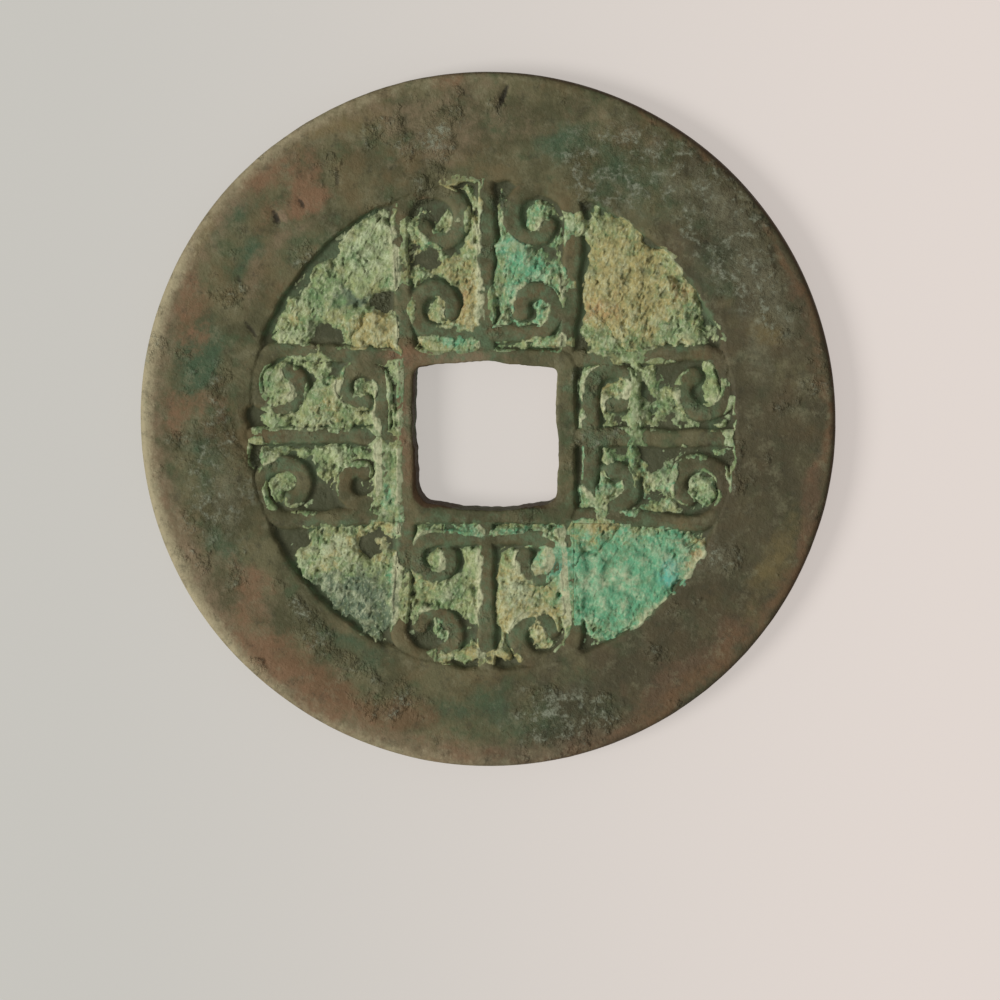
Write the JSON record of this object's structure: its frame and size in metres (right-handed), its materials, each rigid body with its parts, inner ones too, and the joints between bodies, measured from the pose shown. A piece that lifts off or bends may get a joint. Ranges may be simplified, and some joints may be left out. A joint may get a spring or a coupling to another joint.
{
  "type": "cash coin",
  "caption": "Round cast coin with a square hole, broad plain rims, scroll ornament and mineral crust in the sunk field.",
  "frame": {"origin": "middle of the outer rim's face on the back, where the coin lies on a surface", "axes": "+Z out of the ornamented face, +Y to the top of the design, +X to its right"},
  "size_m": [0.027, 0.027, 0.0012],
  "materials": {
    "cast_metal": "dark olive-brown buried patina, dull, worn warmer on the high places",
    "green_mineral": "matt granular copper mineral, pale green",
    "tan_mineral": "matt granular earth and copper mineral, yellow-tan",
    "turquoise_mineral": "matt granular copper mineral, turquoise"
  },
  "bodies": {
    "root": {"bottom_scroll_left_green_crust": "green_mineral", "bottom_scroll_right_tan_crust": "tan_mineral", "cast_coin": "cast_metal", "left_scroll_lower_green_crust": "green_mineral", "left_scroll_upper_green_crust": "green_mineral", "lower_left_green_crust_by_rim": "green_mineral", "lower_left_tan_crust_by_hole": "tan_mineral", "lower_right_tan_crust_by_hole": "tan_mineral", "lower_right_turquoise_crust_by_rim": "turquoise_mineral", "right_scroll_lower_turquoise_crust": "turquoise_mineral", "right_scroll_upper_green_crust": "green_mineral", "top_scroll_left_tan_crust": "tan_mineral", "top_scroll_right_turquoise_crust": "turquoise_mineral", "upper_left_green_crust_by_rim": "green_mineral", "upper_left_tan_crust_by_hole": "tan_mineral", "upper_right_green_crust_by_hole": "green_mineral", "upper_right_tan_crust_by_rim": "tan_mineral"}
  },
  "joints": []
}
